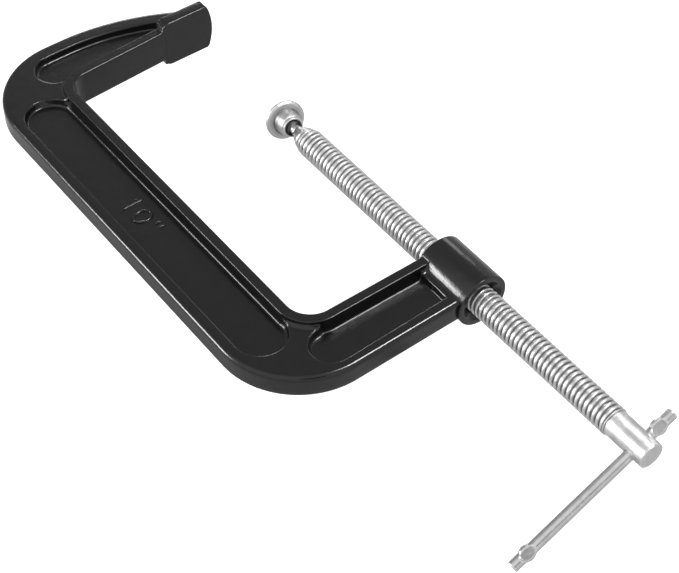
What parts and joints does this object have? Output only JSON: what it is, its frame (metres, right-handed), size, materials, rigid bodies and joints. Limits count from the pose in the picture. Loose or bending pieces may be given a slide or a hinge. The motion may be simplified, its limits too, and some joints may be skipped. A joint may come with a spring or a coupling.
{
  "type": "c clamp",
  "caption": "Cast C clamp with a fixed anvil, a threaded screw with a sliding T-handle bar, and a ball-mounted swivel pad.",
  "frame": {"origin": "on the anvil's clamping face, where the screw's axis meets it", "axes": "+X along the screw from the anvil to the handle, +Y out of the throat (the spine is at -Y), +Z square to the frame's flat sides"},
  "size_m": [0.5024, 0.176, 0.0618],
  "materials": {
    "frame_powder_coat": "black powder coat, semi-gloss, over cast ductile iron",
    "screw_zinc": "bright zinc plate over rolled thread",
    "bar_zinc": "bright zinc plate over drawn rod",
    "pad_zinc": "zinc plate over turned steel",
    "ring_phosphate": "dark phosphate, oiled"
  },
  "bodies": {
    "frame": {"clamp_frame": "frame_powder_coat"},
    "ring": {"pad_ring": "ring_phosphate"},
    "screw": {"clamp_screw": "screw_zinc"},
    "bar": {"tommy_bar": "bar_zinc"},
    "pad": {"swivel_pad": "pad_zinc"}
  },
  "joints": [
    {"name": "screw_feed", "type": "slide", "parent": "frame", "child": "ring", "axis": [1, 0, 0], "range_m": [-0.1028, 0.1474]},
    {"name": "screw_turn", "type": "hinge", "parent": "ring", "child": "screw", "pos_m": [0.1164, 0, 0], "axis": [1, 0, 0], "range_deg": [-10420, 14940]},
    {"name": "bar_slide", "type": "slide", "parent": "screw", "child": "bar", "axis": [0, 0.9114, 0.4115], "range_m": [0, 0.0725]},
    {"name": "pad_tilt", "type": "hinge", "parent": "ring", "child": "pad", "pos_m": [0.1164, 0, 0], "axis": [0, -0.8192, -0.5736], "range_deg": [-37, 2]}
  ],
  "couplings": [
    {"joint": "screw_feed", "follows": "screw_turn", "m_per_rad": 0.000565}
  ]
}
